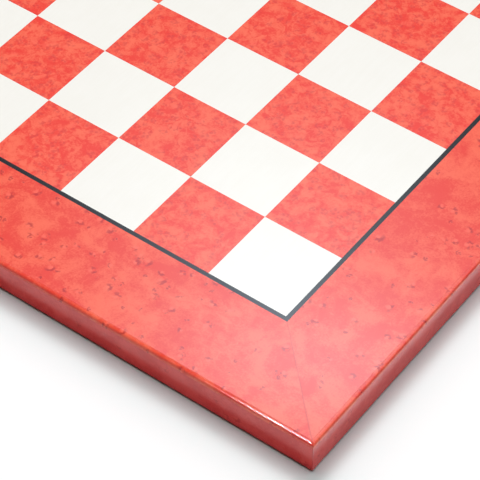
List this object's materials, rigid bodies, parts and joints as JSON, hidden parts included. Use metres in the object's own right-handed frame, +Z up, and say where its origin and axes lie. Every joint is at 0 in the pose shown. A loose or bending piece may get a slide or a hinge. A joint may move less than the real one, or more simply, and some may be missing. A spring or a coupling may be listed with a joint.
{
  "type": "chess board",
  "caption": "Flat square chess board: glossy red burl and ivory veneer squares inside a black inlaid line, a wide mitred burl border, veneered sides and a felt base.",
  "frame": {"origin": "centre of the felt's underside, on the surface that the board rests on", "axes": "+Z up, out of the playing surface; +X to the first player's right; +Y away from the first player, with a light square at the +X, -Y corner"},
  "size_m": [0.4004, 0.4004, 0.0165],
  "materials": {
    "red_burl": "red dyed burl under clear high gloss lacquer",
    "ivory_maple": "pale maple under clear high gloss lacquer",
    "black_line": "black dyed veneer under clear high gloss lacquer",
    "fibreboard": "raw fibreboard",
    "backing": "plain veneer, satin",
    "felt": "pressed felt"
  },
  "bodies": {
    "root": {"core_panel": "fibreboard", "backing_veneer": "backing", "felt_base": "felt", "border_veneer_front": "red_burl", "border_veneer_right": "red_burl", "border_veneer_back": "red_burl", "border_veneer_left": "red_burl", "side_veneer_front": "red_burl", "side_veneer_right": "red_burl", "side_veneer_back": "red_burl", "side_veneer_left": "red_burl", "black_line_front": "black_line", "black_line_right": "black_line", "black_line_back": "black_line", "black_line_left": "black_line", "rank_1_ivory_squares": "ivory_maple", "rank_1_red_squares": "red_burl", "rank_2_ivory_squares": "ivory_maple", "rank_2_red_squares": "red_burl", "rank_3_ivory_squares": "ivory_maple", "rank_3_red_squares": "red_burl", "rank_4_ivory_squares": "ivory_maple", "rank_4_red_squares": "red_burl", "rank_5_ivory_squares": "ivory_maple", "rank_5_red_squares": "red_burl", "rank_6_ivory_squares": "ivory_maple", "rank_6_red_squares": "red_burl", "rank_7_ivory_squares": "ivory_maple", "rank_7_red_squares": "red_burl", "rank_8_ivory_squares": "ivory_maple", "rank_8_red_squares": "red_burl"}
  },
  "joints": []
}
